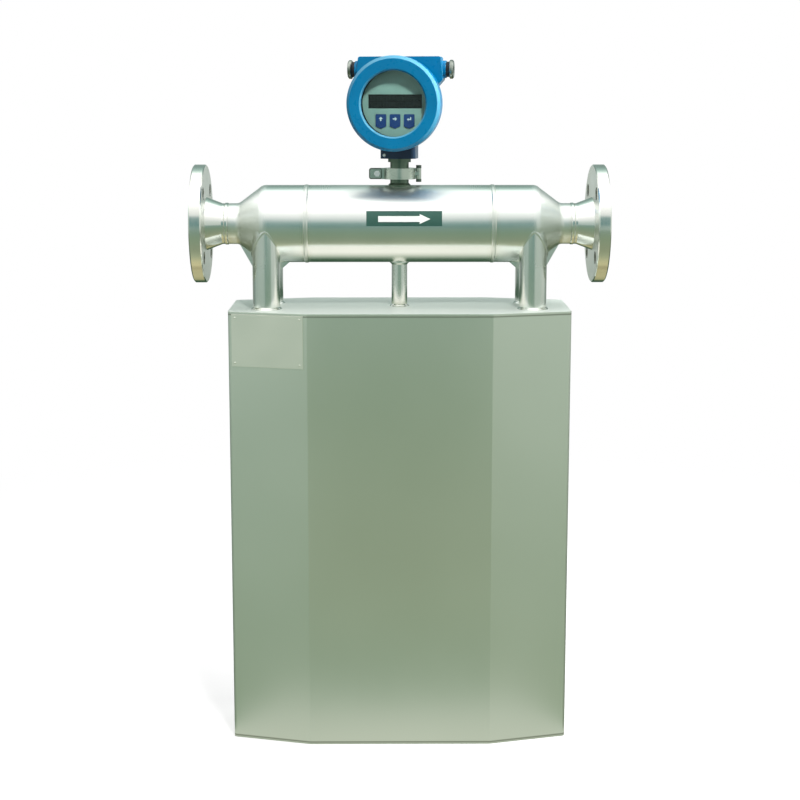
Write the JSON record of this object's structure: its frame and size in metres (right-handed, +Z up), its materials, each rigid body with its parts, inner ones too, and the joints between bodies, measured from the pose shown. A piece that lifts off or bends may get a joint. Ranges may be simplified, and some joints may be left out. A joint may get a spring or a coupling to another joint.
{
  "type": "coriolis flow meter",
  "caption": "Flanged mass flow meter with a round manifold over a folded sheet case and a turnable transmitter head with display and keys.",
  "frame": {"origin": "bottom centre of the case, on the surface it stands on", "axes": "+X with the flow, from the inlet flange to the outlet flange; -Y towards the display side; +Z up"},
  "size_m": [0.58, 0.188, 0.962],
  "materials": {
    "case_steel": "brushed stainless sheet",
    "pipe_steel": "polished stainless",
    "flange_steel": "turned stainless",
    "bright_steel": "machined stainless",
    "plate_steel": "fine satin",
    "coil_copper": "wound wire",
    "black_rubber": "matt",
    "label_teal": "satin",
    "arrow_white": "satin",
    "navy_paint": "satin",
    "blue_paint": "semi-gloss powder coat",
    "face_grey": "matt",
    "display_black": "gloss",
    "board_green": "matt",
    "key_blue": "satin",
    "window_glass": "clear"
  },
  "bodies": {
    "sensor": {"inlet_flange": "flange_steel", "outlet_flange": "flange_steel", "inlet_splitter": "pipe_steel", "outlet_splitter": "pipe_steel", "spacer_tube": "pipe_steel", "inlet_front_sleeve": "pipe_steel", "inlet_rear_sleeve": "pipe_steel", "outlet_front_sleeve": "pipe_steel", "outlet_rear_sleeve": "pipe_steel", "wiring_post": "pipe_steel", "front_measuring_tube": "bright_steel", "rear_measuring_tube": "bright_steel", "temperature_sensor": "bright_steel", "sensor_neck": "bright_steel", "clamp_front_half": "bright_steel", "clamp_rear_half": "bright_steel", "clamp_hinge_pin": "bright_steel", "clamp_bolt": "bright_steel", "inlet_brace_bars": "bright_steel", "outlet_brace_bars": "bright_steel", "drive_magnet": "bright_steel", "inlet_pickoff_magnet": "bright_steel", "outlet_pickoff_magnet": "bright_steel", "drive_coil": "coil_copper", "inlet_pickoff_coil": "coil_copper", "outlet_pickoff_coil": "coil_copper", "coil_wiring": "black_rubber", "sensor_cable": "black_rubber", "case_front_shell": "case_steel", "case_rear_shell": "case_steel", "case_top_plate": "case_steel", "case_floor_plate": "case_steel", "name_plate": "plate_steel", "flow_label": "label_teal", "flow_arrow": "arrow_white", "neck_gasket": "black_rubber"},
    "head": {"neck_stem": "bright_steel", "housing_foot": "navy_paint", "foot_screw": "bright_steel", "transmitter_housing": "blue_paint", "left_gland_body": "bright_steel", "right_gland_body": "bright_steel", "left_gland_nut": "bright_steel", "right_gland_nut": "bright_steel", "gland_seals": "black_rubber", "face_plate": "face_grey", "display_module": "display_black", "display_board": "board_green", "power_board": "board_green", "terminal_block": "board_green", "signal_connector": "black_rubber"},
    "front_seal": {"front_cover_seal": "black_rubber"},
    "front_cover": {"front_cover": "blue_paint", "front_glass": "window_glass", "glass_ring": "black_rubber"},
    "rear_seal": {"rear_cover_seal": "black_rubber"},
    "rear_cover": {"rear_cover": "blue_paint"},
    "left_key": {"left_key": "key_blue"},
    "middle_key": {"middle_key": "key_blue"},
    "right_key": {"right_key": "key_blue"}
  },
  "joints": [
    {"name": "head_swivel", "type": "hinge", "parent": "sensor", "child": "head", "pos_m": [0, 0, 0.801], "axis": [0, 0, 1], "range_deg": [-165, 165]},
    {"name": "front_cover_travel", "type": "slide", "parent": "head", "child": "front_seal", "axis": [-0.1564, -0.9877, 0], "range_m": [0, 0.0091]},
    {"name": "front_cover_turn", "type": "hinge", "parent": "front_seal", "child": "front_cover", "pos_m": [0, 0, 0.8975], "axis": [-0.1564, -0.9877, 0], "range_deg": [0, 2160]},
    {"name": "rear_cover_travel", "type": "slide", "parent": "head", "child": "rear_seal", "axis": [0.1564, 0.9877, 0], "range_m": [0, 0.0091]},
    {"name": "rear_cover_turn", "type": "hinge", "parent": "rear_seal", "child": "rear_cover", "pos_m": [0, 0, 0.8975], "axis": [0.1564, 0.9877, 0], "range_deg": [0, 2160]},
    {"name": "left_key_push", "type": "slide", "parent": "head", "child": "left_key", "axis": [0.1564, 0.9877, 0], "range_m": [0, 0.0008], "stiffness_N_per_m": 1500},
    {"name": "middle_key_push", "type": "slide", "parent": "head", "child": "middle_key", "axis": [0.1564, 0.9877, 0], "range_m": [0, 0.0008], "stiffness_N_per_m": 1500},
    {"name": "right_key_push", "type": "slide", "parent": "head", "child": "right_key", "axis": [0.1564, 0.9877, 0], "range_m": [0, 0.0008], "stiffness_N_per_m": 1500}
  ],
  "couplings": [
    {"joint": "front_cover_travel", "follows": "front_cover_turn", "m_per_rad": 0.00023873},
    {"joint": "rear_cover_travel", "follows": "rear_cover_turn", "m_per_rad": 0.00023873}
  ]
}
